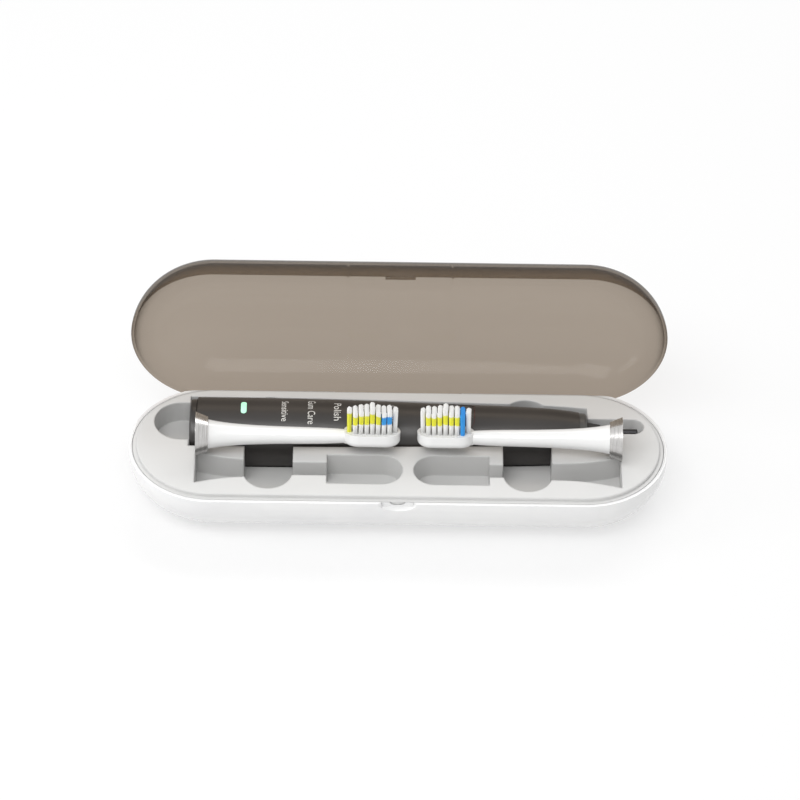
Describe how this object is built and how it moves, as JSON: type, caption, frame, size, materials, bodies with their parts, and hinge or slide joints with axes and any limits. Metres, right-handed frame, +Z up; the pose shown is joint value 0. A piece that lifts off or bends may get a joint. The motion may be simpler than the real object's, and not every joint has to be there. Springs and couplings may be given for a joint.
{
  "type": "electric toothbrush travel case",
  "caption": "Electric toothbrush handle and spare brush heads in a long rounded travel case with a moulded tray and a smoke-clear hinged lid.",
  "frame": {"origin": "centre of the base's flat bottom face", "axes": "+Z up, +X along the case towards the drive shaft, +Y to the hinge"},
  "size_m": [0.228, 0.0982, 0.0894],
  "materials": {
    "case_base": "gloss white",
    "tray_insert": "satin light grey",
    "case_lid": "clear smoke brown",
    "hinge_pin": "plain",
    "handle_housing": "satin black brown",
    "end_cap": "satin black brown",
    "end_cap_seal": "matte",
    "inner_frame": "matte",
    "battery_cell": "sleeve",
    "circuit_board": "solder mask",
    "charging_coil": "enamelled copper",
    "coil_core": "ferrite",
    "stator_core": "laminated",
    "drive_coil": "enamelled copper",
    "rotor_magnet": "nickel plated",
    "drive_shaft": "dark steel",
    "shaft_bearing": "sintered bronze",
    "shaft_seal": "matte",
    "neck_collar": "gloss black",
    "power_button": "satin black",
    "button_switch": "matte",
    "status_light": "lit green",
    "head_left_body": "gloss white",
    "head_left_ring": "brushed",
    "head_left_insert": "matte",
    "head_left_bristles": "nylon with yellow and blue bands",
    "head_right_body": "gloss white",
    "head_right_ring": "brushed",
    "head_right_insert": "matte",
    "head_right_bristles": "nylon with yellow and blue bands"
  },
  "bodies": {
    "case": {"case_base": "case_base", "tray_insert": "tray_insert", "hinge_pin": "hinge_pin"},
    "lid": {"case_lid": "case_lid"},
    "handle": {"handle_housing": "handle_housing", "end_cap": "end_cap", "end_cap_seal": "end_cap_seal", "inner_frame": "inner_frame", "battery_cell": "battery_cell", "circuit_board": "circuit_board", "charging_coil": "charging_coil", "coil_core": "coil_core", "stator_core": "stator_core", "drive_coil": "drive_coil", "shaft_bearing": "shaft_bearing", "shaft_seal": "shaft_seal", "neck_collar": "neck_collar", "button_switch": "button_switch", "status_light": "status_light"},
    "rotor": {"drive_shaft": "drive_shaft", "rotor_magnet": "rotor_magnet"},
    "button": {"power_button": "power_button"},
    "head_left": {"head_left_body": "head_left_body", "head_left_ring": "head_left_ring", "head_left_insert": "head_left_insert", "head_left_bristles": "head_left_bristles"},
    "head_right": {"head_right_body": "head_right_body", "head_right_ring": "head_right_ring", "head_right_insert": "head_right_insert", "head_right_bristles": "head_right_bristles"}
  },
  "joints": [
    {"name": "lid_hinge", "type": "hinge", "parent": "case", "child": "lid", "pos_m": [0, 0.0324, 0.0213], "axis": [-1, 0, 0], "range_deg": [-90, 0]},
    {"name": "handle_lift", "type": "slide", "parent": "case", "child": "handle", "axis": [0, 0, 1], "range_m": [0, 0.06]},
    {"name": "button_press", "type": "slide", "parent": "handle", "child": "button", "axis": [0, 0, -1], "range_m": [0, 0.0006], "stiffness_N_per_m": 1200},
    {"name": "shaft_swing", "type": "hinge", "parent": "handle", "child": "rotor", "pos_m": [0, 0.0126, 0.023], "axis": [1, 0, 0], "range_deg": [-7, 7], "stiffness_Nm_per_rad": 0.02},
    {"name": "head_left_lift", "type": "slide", "parent": "handle", "child": "head_left", "axis": [0, 0, 1], "range_m": [0, 0.04]},
    {"name": "head_right_lift", "type": "slide", "parent": "handle", "child": "head_right", "axis": [0, 0, 1], "range_m": [0, 0.04]}
  ]
}
